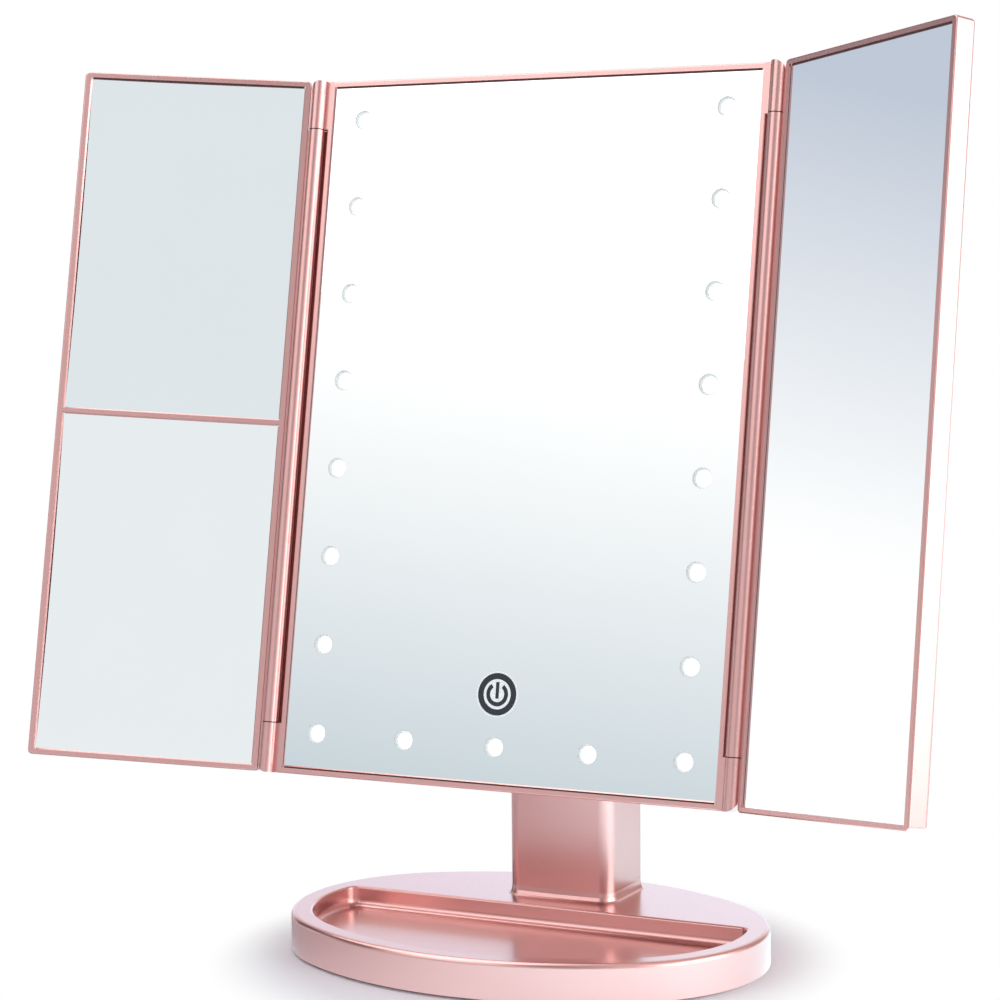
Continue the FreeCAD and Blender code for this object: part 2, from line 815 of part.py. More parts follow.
def hinge_yoke():
    """Return the yoke: a plate on the housing and two cheeks that clasp the post."""
    plate = rounded_plate(-yoke_half_width, yoke_half_width, housing_face, yoke_back,
                          pivot_above_view - yoke_half_height, pivot_above_view + yoke_half_height, yoke_corner)
    yoke = joined(plate, cheek(-1), cheek(1))
    middle = V(0, pivot_behind_front, pivot_above_view)
    reach = V(cheek_outer + overcut, 0, 0)
    yoke = yoke.cut(rod(shaft_radius + shaft_seat_play, middle - reach, middle + reach))
    for head in yoke_screw_heads():
        yoke = yoke.cut(screw(head, forward, screw_hole_play, yoke_screw_bite))
    return yoke


def tilt_shaft():
    """Return the steel shaft through both cheeks and the post."""
    reach = V(cheek_outer - shaft_sunk, 0, 0)
    middle = V(0, pivot_behind_front, pivot_above_view)
    return rod(shaft_radius, middle - reach, middle + reach)


def friction_washers():
    """Return the two washers that give the tilt its drag."""
    washers = []
    for side in (-1, 1):
        start = V(side * (post_width / 2 + washer_play), pivot_behind_front, pivot_above_view)
        end = start + V(side * washer_thickness, 0, 0)
        washers.append(rod(washer_radius, start, end).cut(rod(shaft_radius + shaft_play, start, end)))
    return washers


def shaft_end_caps():
    """Return the caps over the ends of the shaft."""
    caps = []
    for side in (-1, 1):
        seat = V(side * cheek_outer, pivot_behind_front, pivot_above_view)
        face = seat + V(side * cap_thickness, 0, 0)
        disc = rod(cap_radius, seat, face)
        disc = disc.makeFillet(cap_round, edges_where(disc, at_level("X", face.x)))
        caps.append(joined(disc, rod(shaft_radius - shaft_play, seat - V(side * cap_stem, 0, 0), seat)))
    return caps


# Wings, drawn to the right of their hinge, with the front at Y = 0 and the hinge on the Z axis


def wing_pocket(front, back, inset):
    """Return the room behind a wing's bezel, shrunk all round by an inset."""
    return box(wing_start + wing_wall + inset, wing_end - wing_wall - inset, front, back,
               frame_low + wing_wall + inset, frame_high - wing_wall - inset)


def wing_frame(with_divider):
    """Return a wing's bezel frame with its hinge barrel, with or without a bar between two glasses."""
    shell = rounded_plate(wing_start, wing_end, 0, wing_frame_depth, frame_low, frame_high, frame_corner)
    shell = soft_front(shell, 0, front_edge_round)
    shell = shell.cut(wing_pocket(bezel_lip, wing_frame_depth, 0))
    shell = shell.cut(box(wing_start + wing_bezel, wing_end - wing_bezel, -overcut, wing_frame_depth,
                          0, view_height))
    barrel = rod(barrel_radius, V(0, 0, barrel_low), V(0, 0, barrel_high))
    web = box(0, wing_start + wing_wall, wing_web_front, barrel_radius, barrel_low, barrel_high)
    shell = joined(shell, barrel, web)
    if with_divider:
        middle = view_height / 2
        bar = box(wing_start + wing_wall, wing_end - wing_wall, 0, wing_frame_depth,
                  middle - divider / 2, middle + divider / 2)
        shell = joined(shell, bar)
    place = V(-hinge_x, hinge_front, 0)
    for upper in (False, True):
        shell = shell.cut(hinge_pin(1, upper, pin_play).translated(place))
    return shell


def wing_back(glass_back, with_divider):
    """Return a wing's back cover, with the raised pad that presses on the glass."""
    cover = rounded_plate(wing_start, wing_end, wing_frame_depth, wing_frame_depth + wing_back_depth,
                          frame_low, frame_high, frame_corner)
    cover = soft_front(cover, wing_frame_depth + wing_back_depth, wing_back_round)
    pad = wing_pocket(glass_back + wing_pad_gap, wing_frame_depth, wing_pad_inset)
    if with_divider:
        middle = view_height / 2
        gap = divider / 2 + wing_pad_inset
        pad = pad.cut(box(0, wing_end, 0, wing_frame_depth, middle - gap, middle + gap))
    return joined(cover, *pad.Solids)


def wing_glass():
    """Return the plain glass of the right wing."""
    return wing_pocket(bezel_lip, bezel_lip + mirror_thickness, glass_play)


def magnifier(upper):
    """Return one hollow-ground magnifying glass of the left wing."""
    middle = view_height / 2
    low = middle + divider / 2 + glass_play if upper else frame_low
    high = frame_high if upper else middle - divider / 2 - glass_play
    glass = wing_pocket(bezel_lip, bezel_lip + magnifier_thickness, glass_play)
    glass = glass.common(box(0, wing_end, 0, wing_frame_depth, low, high))
    bounds = glass.BoundBox
    corner = math.hypot(bounds.XLength / 2, bounds.ZLength / 2)
    away = math.sqrt(magnifier_radius ** 2 - corner ** 2)
    centre = V(bounds.Center.x, bezel_lip - away, bounds.Center.z)
    return glass.cut(Part.makeSphere(magnifier_radius, centre))


# Places of the head and the wings at rest


def on_head(shape):
    """Return an upright head piece, moved onto the pivot and tilted back."""
    moved = shape.translated(V(0, pivot_y - pivot_behind_front, pivot_z - pivot_above_view))
    return moved.rotated(V(0, pivot_y, pivot_z), V(1, 0, 0), -rest_tilt)


def on_right_wing(shape):
    """Return a right wing piece, folded forward about its hinge and tilted with the head."""
    folded = shape.rotated(V(0, 0, 0), V(0, 0, 1), -right_rest_fold)
    return on_head(folded.translated(V(hinge_x, -hinge_front, 0)))


def on_left_wing(shape):
    """Return a left wing piece, mirrored, folded forward about its hinge and tilted with the head."""
    flipped = shape.mirror(V(0, 0, 0), V(1, 0, 0))
    folded = flipped.rotated(V(0, 0, 0), V(0, 0, 1), left_rest_fold)
    return on_head(folded.translated(V(-hinge_x, -hinge_front, 0)))


os.makedirs("parts", exist_ok=True)

export("base_shell", base_shell())
export("base_bottom_cover", base_bottom_cover())
export("antislip_pad", antislip_pad())
export("base_screws", *[screw(head, up) for head in base_screw_heads()])
export("post_shell", post_shell())
export("post_back_cover", post_back_cover())
export("post_screws", *[screw(head, up) for head in post_screw_heads()])
export("post_cover_screw", screw(cover_screw_place(), forward))
export("battery_cells", *battery_cells())
export("battery_contacts", *battery_contacts())
export("battery_door", battery_door())
export("inlet_board", inlet_board())
export("usb_socket", usb_socket())

export("center_frame", on_head(center_frame()))
export("center_back_cover", on_head(center_back_cover()))
export("center_mirror", on_head(center_mirror()))
export("light_guide", on_head(light_guide()))
export("led_board", on_head(led_board()))
export("led_chips", *[on_head(chip) for chip in led_chips()])
export("touch_sensor", on_head(touch_sensor()))
export("control_board", on_head(control_board()))
export("head_screws", *[on_head(piece) for piece in head_screws()])
export("hinge_yoke", on_head(hinge_yoke()))
export("yoke_screws", *[on_head(screw(head, forward, 0, yoke_screw_bite)) for head in yoke_screw_heads()])
export("tilt_shaft", on_head(tilt_shaft()))
export("friction_washers", *[on_head(washer) for washer in friction_washers()])
export("shaft_end_caps", *[on_head(cap) for cap in shaft_end_caps()])
export("left_hinge_pins", *[on_head(hinge_pin(-1, upper, 0)) for upper in (False, True)])
export("right_hinge_pins", *[on_head(hinge_pin(1, upper, 0)) for upper in (False, True)])

magnifier_back = bezel_lip + magnifier_thickness
export("left_wing_frame", on_left_wing(wing_frame(True)))
export("left_wing_back", on_left_wing(wing_back(magnifier_back, True)))
export("left_upper_mirror", on_left_wing(magnifier(True)))
export("left_lower_mirror", on_left_wing(magnifier(False)))
export("right_wing_frame", on_right_wing(wing_frame(False)))
export("right_wing_back", on_right_wing(wing_back(mirror_back, False)))
export("right_mirror", on_right_wing(wing_glass()))
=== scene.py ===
"""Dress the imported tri-fold vanity mirror: lacquer, glass, lights, touch sign, fasteners and a studio."""
import json
import logging
import math
from dataclasses import dataclass
from enum import Enum
from typing import Iterable, Optional, Union

import bmesh
import bpy
from mathutils import Matrix, Vector


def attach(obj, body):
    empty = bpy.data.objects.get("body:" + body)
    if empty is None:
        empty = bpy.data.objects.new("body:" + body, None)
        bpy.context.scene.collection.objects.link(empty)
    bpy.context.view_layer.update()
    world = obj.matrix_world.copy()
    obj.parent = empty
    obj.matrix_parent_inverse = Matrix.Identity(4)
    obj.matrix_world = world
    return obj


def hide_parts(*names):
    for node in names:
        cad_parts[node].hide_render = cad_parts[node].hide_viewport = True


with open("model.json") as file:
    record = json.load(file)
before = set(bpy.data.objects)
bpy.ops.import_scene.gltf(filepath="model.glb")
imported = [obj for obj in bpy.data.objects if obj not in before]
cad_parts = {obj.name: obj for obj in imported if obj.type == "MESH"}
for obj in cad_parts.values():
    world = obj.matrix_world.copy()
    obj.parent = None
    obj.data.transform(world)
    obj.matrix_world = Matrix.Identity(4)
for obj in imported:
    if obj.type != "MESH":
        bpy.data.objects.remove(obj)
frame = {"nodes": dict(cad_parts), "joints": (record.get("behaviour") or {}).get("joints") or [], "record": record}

log = logging.getLogger("vanity_mirror")

METRES_PER_MM = 0.001
IMAGE_SIZE = 1000.0
WHITE = "#FFFFFF"
# The sRGB curve: straight below the knee, a power above it
SRGB_KNEE, SRGB_SLOPE, SRGB_OFFSET, SRGB_POWER = 0.04045, 12.92, 0.055, 2.4
# Corners closer than this are one corner, and edges that turn more than this stay sharp
WELD_MM = 1e-5
SHARP_ANGLE = math.radians(35)
QUARTER_TURN = math.radians(90)
RING_STEPS = 48
DISC_SIDES = 72

Value = Union[float, int, tuple, bpy.types.NodeSocket]
Inputs = dict[Union[str, int], Value]
Section = list[tuple[float, float]]


class Side(Enum):
    """Which wing, seen by a person who looks into the mirror."""

    LEFT = -1
    RIGHT = 1


class Body(str, Enum):
    """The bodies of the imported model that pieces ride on."""

    STAND = "stand"
    HEAD = "head"
    LEFT_WING = "left_wing"
    RIGHT_WING = "right_wing"


def linear(code: str) -> tuple[float, float, float, float]:
    """Turn an sRGB hex code into a linear colour.

    Args:
        code: The colour as six hex digits after a hash sign.

    Returns:
        Red, green, blue and a full alpha, linear.
    """
    channels = [int(code[i:i + 2], 16) / 255 for i in (1, 3, 5)]
    red, green, blue = [c / SRGB_SLOPE if c <= SRGB_KNEE
                        else ((c + SRGB_OFFSET) / (1 + SRGB_OFFSET)) ** SRGB_POWER for c in channels]
    return red, green, blue, 1.0


def per_metre(size_mm: float) -> float:
    """Return the texture scale whose pattern repeats about every size_mm millimetres."""
    return 1.0 / (size_mm * METRES_PER_MM)


def add(tree: bpy.types.NodeTree, kind: str, inputs: Optional[Inputs] = None,
        **settings: object) -> bpy.types.Node:
    """Add one node, with its settings, and set or link its inputs.

    Args:
        tree: The node tree that gets the node.
        kind: The node's type in Blender.
        inputs: Each input's name or number, with a value or the output that feeds it.
        settings: The node's own attributes.

    Returns:
        The new node.
    """
    node = tree.nodes.new(kind)
    for name, value in settings.items():
        setattr(node, name, value)
    feed(tree, node, inputs or {})
    return node


def feed(tree: bpy.types.NodeTree, node: bpy.types.Node, inputs: Inputs) -> None:
    """Set or link a node's inputs.

    Args:
        tree: The tree that holds the node.
        node: The node whose inputs are set.
        inputs: Each input's name or number, with a value or the output that feeds it.
    """
    for name, value in inputs.items():
        if isinstance(value, bpy.types.NodeSocket):
            tree.links.new(value, node.inputs[name])
        else:
            node.inputs[name].default_value = value


def split_rays(tree: bpy.types.NodeTree) -> tuple[bpy.types.NodeSocket, bpy.types.NodeSocket]:
    """Tell the camera's own rays from those that shiny or clear surfaces send on.

    Args:
        tree: The node tree that gets the nodes.

    Returns:
        An output that is 1 for the camera's rays, and one that is 1 for the others.
    """
    path = add(tree, "ShaderNodeLightPath")
    shiny = add(tree, "ShaderNodeMath", {0: path.outputs["Is Glossy Ray"],
                                         1: path.outputs["Is Transmission Ray"]}, operation="MAXIMUM")
    return path.outputs["Is Camera Ray"], shiny.outputs[0]


@dataclass(frozen=True)
class Finish:
    """A real material. Its two tones drift into each other, and its roughness drifts with them."""

    name: str
    tone: str
    second_tone: str
    drift_mm: float
    roughness: tuple[float, float]
    metallic: float = 0.0
    grain_mm: float = 0.3
    grain_height_mm: float = 0.004
    coat: float = 0.0
    coat_roughness: float = 0.1
    glow: float = 0.0
    sheen: float = 0.0

    def material(self) -> bpy.types.Material:
        """Return the finish's Blender material, made the first time it is asked for."""
        made = bpy.data.materials.get(self.name)
        if made is None:
            made = bpy.data.materials.new(self.name)
            made.use_nodes = True
            self.shade(made.node_tree, made.node_tree.nodes["Principled BSDF"])
        return made

    def shade(self, tree: bpy.types.NodeTree, shader: bpy.types.Node) -> None:
        """Connect the finish's pattern, roughness and grain to its shader.

        Args:
            tree: The material's node tree.
            shader: Its surface shader.
        """
        spot = add(tree, "ShaderNodeTexCoord").outputs["Object"]
        drift = add(tree, "ShaderNodeTexNoise", {"Vector": spot, "Scale": per_metre(self.drift_mm),
                                                 "Detail": 3.0})
        colour = add(tree, "ShaderNodeMix", {"Factor": drift.outputs["Fac"], "A": linear(self.tone),
                                             "B": linear(self.second_tone)}, data_type="RGBA")
        rough = add(tree, "ShaderNodeMapRange", {"Value": drift.outputs["Fac"], "To Min": self.roughness[0],
                                                 "To Max": self.roughness[1]})
        grain = add(tree, "ShaderNodeTexNoise", {"Vector": spot, "Scale": per_metre(self.grain_mm),
                                                 "Detail": 2.0})
        bump = add(tree, "ShaderNodeBump", {"Height": grain.outputs["Fac"], "Strength": 1.0,
                                            "Distance": self.grain_height_mm * METRES_PER_MM})
        feed(tree, shader, {"Base Color": colour.outputs["Result"], "Roughness": rough.outputs["Result"],
                            "Normal": bump.outputs["Normal"], "Metallic": self.metallic,
                            "Coat Weight": self.coat, "Coat Roughness": self.coat_roughness,
                            "Sheen Weight": self.sheen, "Emission Strength": self.glow})
        if self.glow:
            feed(tree, shader, {"Emission Color": colour.outputs["Result"]})


@dataclass(frozen=True)
class FlakeLacquer(Finish):
    """Metal-flake lacquer: flakes of slightly different shine under a clear coat that is not quite flat.

    Real flakes are some 0.05 mm across. They are drawn coarser, so that the grain holds at arm's length.
    """

    flake_mm: float = 0.5
    flake_spread: float = 0.008
    peel_mm: float = 2.4
    peel_height_mm: float = 0.0025

    def shade(self, tree: bpy.types.NodeTree, shader: bpy.types.Node) -> None:
        """Add the flakes and the coat's faint orange peel to the shared pattern.

        Args:
            tree: The material's node tree.
            shader: Its surface shader.
        """
        super().shade(tree, shader)
        spot = add(tree, "ShaderNodeTexCoord").outputs["Object"]
        flakes = add(tree, "ShaderNodeTexVoronoi", {"Vector": spot, "Scale": per_metre(self.flake_mm)})
        glint = add(tree, "ShaderNodeSeparateColor", {"Color": flakes.outputs["Color"]})
        shine = add(tree, "ShaderNodeMapRange", {"Value": glint.outputs["Red"],
                                                 "To Min": self.roughness[0] - self.flake_spread,
                                                 "To Max": self.roughness[1] + self.flake_spread})
        peel = add(tree, "ShaderNodeTexNoise", {"Vector": spot, "Scale": per_metre(self.peel_mm),
                                                "Detail": 1.0})
        coat = add(tree, "ShaderNodeBump", {"Height": peel.outputs["Fac"], "Strength": 1.0,
                                            "Distance": self.peel_height_mm * METRES_PER_MM})
        feed(tree, shader, {"Roughness": shine.outputs["Result"], "Coat Normal": coat.outputs["Normal"]})


@dataclass(frozen=True)
class FloorPaint(Finish):
    """White floor paint that keeps a shadow near the object and is plain background further out.

    Shiny surfaces also see a pool of light painted on it as a glow, on the object's right. Reaches are in metres.
    """

    shadow_reach: tuple[float, float] = (0.07, 0.105)
    shine_reach: tuple[float, float] = (0.4, 0.8)
    shine_level: float = 1.3
    glow_way: tuple[float, float, float] = (0.94, -0.34, 0.0)
    glow_reach: tuple[float, float] = (-0.08, 0.3)
    glow_end: tuple[float, float] = (0.42, 0.26)
    glow_level: float = 2.9
    glow_tone: str = "#C6F9FF"

    def shade(self, tree: bpy.types.NodeTree, shader: bpy.types.Node) -> None:
        """Turn the floor to plain white past its shadow, and paint the glowing pool of light that shiny surfaces
        see.

        Args:
            tree: The material's node tree.
            shader: Its surface shader.
        """
        super().shade(tree, shader)
        spot = add(tree, "ShaderNodeTexCoord").outputs["Object"]
        away = add(tree, "ShaderNodeVectorMath", {0: spot}, operation="LENGTH")
        along = add(tree, "ShaderNodeVectorMath", {0: spot, 1: self.glow_way}, operation="DOT_PRODUCT")
        camera, shiny = split_rays(tree)
        glow = shiny
        for value, reach, level in ((along, self.glow_reach, self.glow_level), (away, self.glow_end, 1.0)):
            pool = add(tree, "ShaderNodeMapRange", {"Value": value.outputs["Value"], "From Min": reach[0],
                                                    "From Max": reach[1], "To Min": 0.0, "To Max": level})
            lit = add(tree, "ShaderNodeMath", {0: glow, 1: pool.outputs["Result"]}, operation="MULTIPLY")
            glow = lit.outputs[0]
        # The pool of light is painted: a glow that only shiny surfaces see
        feed(tree, shader, {"Emission Color": linear(self.glow_tone), "Emission Strength": glow})
        shares = []
        for rays, reach in ((camera, self.shadow_reach), (shiny, self.shine_reach)):
            clear = add(tree, "ShaderNodeMapRange", {"Value": away.outputs["Value"], "From Min": reach[0],
                                                     "From Max": reach[1]}, interpolation_type="SMOOTHSTEP")
            shown = add(tree, "ShaderNodeMath", {0: rays, 1: clear.outputs["Result"]}, operation="MULTIPLY")
            shares.append(shown.outputs[0])
        share = add(tree, "ShaderNodeMath", {0: shares[0], 1: shares[1]}, operation="MAXIMUM")
        level = add(tree, "ShaderNodeMath", {0: shiny, 1: self.shine_level - 1.0, 2: 1.0},
                    operation="MULTIPLY_ADD")
        plain = add(tree, "ShaderNodeEmission", {"Color": linear(WHITE), "Strength": level.outputs[0]})
        mixed = add(tree, "ShaderNodeMixShader", {0: share.outputs[0], 1: shader.outputs[0],
                                                  2: plain.outputs[0]})
        feed(tree, tree.nodes["Material Output"], {"Surface": mixed.outputs[0]})


# Rose-gold metal-flake lacquer sprayed on moulded ABS: satin, warm in the shade and nearly white at a glance
LACQUER = FlakeLacquer("rose_gold_lacquer_on_abs", "#DCA8A4", "#D8A29E", 22.0, (0.29, 0.33), metallic=0.95,
                       grain_mm=0.8, grain_height_mm=0.0002, coat=1.0, coat_roughness=0.2)
# Silvered float glass: a clear cool mirror, with the faintest wiping haze
GLASS = Finish("silvered_float_glass", "#FEFFFF", "#FBFDFD", 35.0, (0.004, 0.012), metallic=1.0,
               grain_mm=60.0, grain_height_mm=0.0004)
# Milky cast acrylic lit from behind: an even white spot
ACRYLIC = Finish("lit_milky_acrylic", "#FFFFFF", "#FDFEFF", 4.0, (0.35, 0.45), glow=1.25)
# Frosted window etched through the silver: pale, faintly lit from behind
FROST = Finish("etched_frosted_window", "#F0F6F8", "#E9F1F3", 1.5, (0.45, 0.6), glow=0.24)
# Screen-printed enamel ink, fired on the glass: dark slate with a slight gloss
INK = Finish("fired_slate_ink", "#1A2127", "#20282F", 1.2, (0.4, 0.55), grain_mm=0.2, grain_height_mm=0.002)
# Painted shade at the glass's edge: a thin dark red-brown line where the bezel shades the glass
EDGE_PAINTED_SHADE = Finish("bezel_edge_painted_shade", "#5A3436", "#4A2A2D", 6.0, (0.4, 0.55))
# Lip of each hole drilled in the glass: a pale satin grey of painted shade that shows as a thin crescent
HOLE_LIP_SHADE = Finish("hole_lip_painted_shade", "#D6DCDC", "#D0D6D6", 2.0, (0.45, 0.6))
# Cup behind the hole, grey with painted shade: paler than the lip, and white where it meets the light
CUP_SHADE = Finish("light_cup_painted_shade", "#E2E6E5", "#DEE2E1", 2.0, (0.45, 0.6), glow=0.04)
# Black acetal washer: a dark line in each hinge seam
ACETAL = Finish("black_acetal", "#241A1B", "#2B2021", 1.5, (0.3, 0.4))
# Charcoal ABS, spark-textured in the mould: matt and a little speckled
ABS = Finish("charcoal_textured_abs", "#2B2B2E", "#343438", 3.0, (0.5, 0.65), grain_mm=0.25,
             grain_height_mm=0.02)
# Closed-cell foam rubber: dull black with a soft edge of light
RUBBER = Finish("foam_rubber_pad", "#232325", "#2E2E30", 2.0, (0.8, 0.95), grain_mm=0.6,
                grain_height_mm=0.05, sheen=0.3)
# Zinc-plated steel: cool bright metal with cloudy plating
STEEL = Finish("zinc_plated_steel", "#C4C7CB", "#AEB2B8", 3.0, (0.22, 0.38), metallic=1.0)
# Nickel-plated brass strip: warmer and smoother than the zinc
NICKEL = Finish("nickel_plated_strip", "#CFCAC0", "#BFB9AE", 4.0, (0.16, 0.28), metallic=1.0)
# Printed circuit board: green solder mask over copper, glossy and uneven
MASK = Finish("green_solder_mask", "#1F5A38", "#2B7148", 1.8, (0.22, 0.35), grain_mm=0.8,
              grain_height_mm=0.01)
# Phosphor gel in a white package: chalky yellow
PHOSPHOR = Finish("phosphor_gel", "#F3E6A8", "#FFF3C4", 0.8, (0.4, 0.5), glow=0.8)
# Shrink film round a battery cell: dark slate with a plastic shine
FILM = Finish("cell_shrink_film", "#33383F", "#3D434B", 6.0, (0.25, 0.35))
# Matt painted studio floor: white, with the object's soft shadow close to it, and a painted pool of light on its
# right that only shiny surfaces see
FLOOR = FloorPaint("matt_white_floor_paint", "#F2F1F9", "#EEEDF5", 300.0, (0.75, 0.85), grain_mm=4.0)

FINISH_OF_SLOT = {
    "rose_gold_shell": LACQUER,
    "mirror_glass": GLASS,
    "lit_diffuser": ACRYLIC,
    "light_chip": PHOSPHOR,
    "circuit_board": MASK,
    "dark_plastic": ABS,
    "pad_rubber": RUBBER,
    "steel": STEEL,
    "contact_metal": NICKEL,
    "cell_jacket": FILM,
}


def dress_nodes() -> None:
    """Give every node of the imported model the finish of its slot."""
    for row in frame["record"]["subparts"]:
        node = frame["nodes"][row["node"]]
        finish = FINISH_OF_SLOT[row["material_slot"]]
        node.data.materials.clear()
        node.data.materials.append(finish.material())
        log.info("dressed %s in %s", row["node"], finish.name)


def make_piece(name: str, mesh: bmesh.types.BMesh, place: Matrix, body: Body, finish: Finish) -> bpy.types.Object:
    """Turn a mesh in millimetres into a piece that rides on a body.

    Args:
        name: The piece's name.
        mesh: Its shape, which is used up.
        place: From the mesh's own millimetres to metres in the shared frame.
        body: The body it rides on.
        finish: Its material.

    Returns:
        The new object.
    """
    bmesh.ops.remove_doubles(mesh, verts=mesh.verts, dist=WELD_MM)
    bmesh.ops.transform(mesh, matrix=place, verts=mesh.verts)
    bmesh.ops.recalc_face_normals(mesh, faces=mesh.faces)
    data = bpy.data.meshes.new(name)
    mesh.to_mesh(data)
    mesh.free()
    data.shade_smooth()
    data.set_sharp_from_angle(angle=SHARP_ANGLE)
    made = bpy.data.objects.new(name, data)
    bpy.context.scene.collection.objects.link(made)
    data.materials.append(finish.material())
    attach(made, body.value)
    log.info("made %s on %s, %d faces", name, body.value, len(data.polygons))
    return made


def square(inner: float, outer: float, front: float, back: float) -> Section:
    """Return the corners of a square section, each a radius or a reach and a Y."""
    return [(inner, front), (outer, front), (outer, back), (inner, back)]


def add_ring(mesh: bmesh.types.BMesh, middle: Vector, section: Section, start: float = 0.0,
             sweep: float = 2 * math.pi, steps: int = RING_STEPS) -> None:
    """Spin a section about an axis along Y, a whole ring or a part of one.

    Args:
        mesh: The mesh that gets the ring.
        middle: A point on the axis.
        section: The section's corners in order, each a radius and a Y.
        start: The angle of the first end, from +X towards +Z.
        sweep: The angle from end to end.
        steps: How many steps the spin takes.
    """
    corners = [mesh.verts.new((middle.x + r * math.cos(start), y, middle.z + r * math.sin(start)))
               for r, y in section]
    edges = [mesh.edges.new((corners[i], corners[(i + 1) % len(corners)])) for i in range(len(corners))]
    whole = sweep >= 2 * math.pi
    bmesh.ops.spin(mesh, geom=corners + edges, cent=middle, axis=(0, -1, 0), angle=sweep, steps=steps,
                   use_merge=whole)
    if not whole:
        bmesh.ops.holes_fill(mesh, edges=mesh.edges, sides=len(corners))


def add_bar(mesh: bmesh.types.BMesh, low: Vector, high: Vector) -> None:
    """Add a block between two corners.

    Args:
        mesh: The mesh that gets the block.
        low: Its lowest corner.
        high: Its highest corner.
    """
    verts = bmesh.ops.create_cube(mesh, size=1.0)["verts"]
    bmesh.ops.scale(mesh, vec=high - low, verts=verts)
    bmesh.ops.translate(mesh, vec=(low + high) / 2, verts=verts)


def add_disc(mesh: bmesh.types.BMesh, middle: Vector, radius: float, front: float, back: float) -> None:
    """Add a flat disc that faces -Y.

    Args:
        mesh: The mesh that gets the disc.
        middle: A point on its axis.
        radius: Its radius.
        front: The front face's Y.
        back: The back face's Y.
    """
    place = Matrix.Translation((middle.x, (front + back) / 2, middle.z))
    bmesh.ops.create_cone(mesh, cap_ends=True, segments=DISC_SIDES, radius1=radius, radius2=radius,
                          depth=back - front, matrix=place @ Matrix.Rotation(QUARTER_TURN, 4, "X"))


@dataclass
class HeadPlace:
    """Where the tilting head stands. Its own millimetres start at the middle of the view's lower edge."""

    pivot_behind_front: float = 42.65
    pivot_above_view: float = 112.3
    glass_front: float = 0.8
    hinge_front: float = 0.5
    tilt_joint: str = "head_tilt"
    fold_joint: str = "right_wing_fold"

    def joint(self, name: str) -> dict:
        """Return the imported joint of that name."""
        return next(j for j in frame["joints"] if j["name"] == name)

    def hinge_reach(self) -> float:
        """Return how far each wing's hinge lies from the middle, in millimetres."""
        return self.joint(self.fold_joint)["pos_m"][0] / METRES_PER_MM

    def matrix(self) -> Matrix:
        """Return the way from the head's own millimetres to metres in the shared frame."""
        pivot = Vector(self.joint(self.tilt_joint)["pos_m"])
        axis = self.joint(self.fold_joint)["axis"]
        tilt = math.atan2(-axis[1], -axis[2])
        turn = Matrix.Rotation(-tilt, 4, "X")
        start = Matrix.Translation((0, -self.pivot_behind_front, -self.pivot_above_view))
        return Matrix.Translation(pivot) @ turn @ Matrix.Scale(METRES_PER_MM, 4) @ start


@dataclass
class TouchSign:
    """The power sign on the centre glass: a slate ring round an open circle and a bar, on frosted glass."""

    place: HeadPlace
    height: float = 28.4
    window_radius: float = 7.2
    ring_outer: float = 6.65
    ring_inner: float = 4.75
    ring_steps: int = 72
    arc_radius: float = 3.13
    stroke: float = 1.3
    gap_degrees: float = 70.0
    bar_width: float = 1.1
    bar_low: float = -1.37
    bar_high: float = 3.85
    window_proud: float = 0.04
    print_proud: float = 0.1
    sunk: float = 0.02

    def build(self) -> list[bpy.types.Object]:
        """Make the window, the ring and the sign.

        Returns:
            The window and the printed sign.
        """
        middle = Vector((0, 0, self.height))
        glass = self.place.glass_front
        back = glass + self.sunk
        window = bmesh.new()
        add_disc(window, middle, self.window_radius, glass - self.window_proud, back)
        sign = bmesh.new()
        front = glass - self.print_proud
        add_ring(sign, middle, square(self.ring_inner, self.ring_outer, front, back), steps=self.ring_steps)
        gap = math.radians(self.gap_degrees)
        half = self.stroke / 2
        add_ring(sign, middle, square(self.arc_radius - half, self.arc_radius + half, front, back),
                 start=math.pi / 2 + gap / 2, sweep=2 * math.pi - gap)
        add_bar(sign, Vector((-self.bar_width / 2, front, self.height + self.bar_low)),
                Vector((self.bar_width / 2, back, self.height + self.bar_high)))
        place = self.place.matrix()
        return [
            make_piece("touch_window", window, place, Body.HEAD, FROST),
            make_piece("power_sign", sign, place, Body.HEAD, INK),
        ]


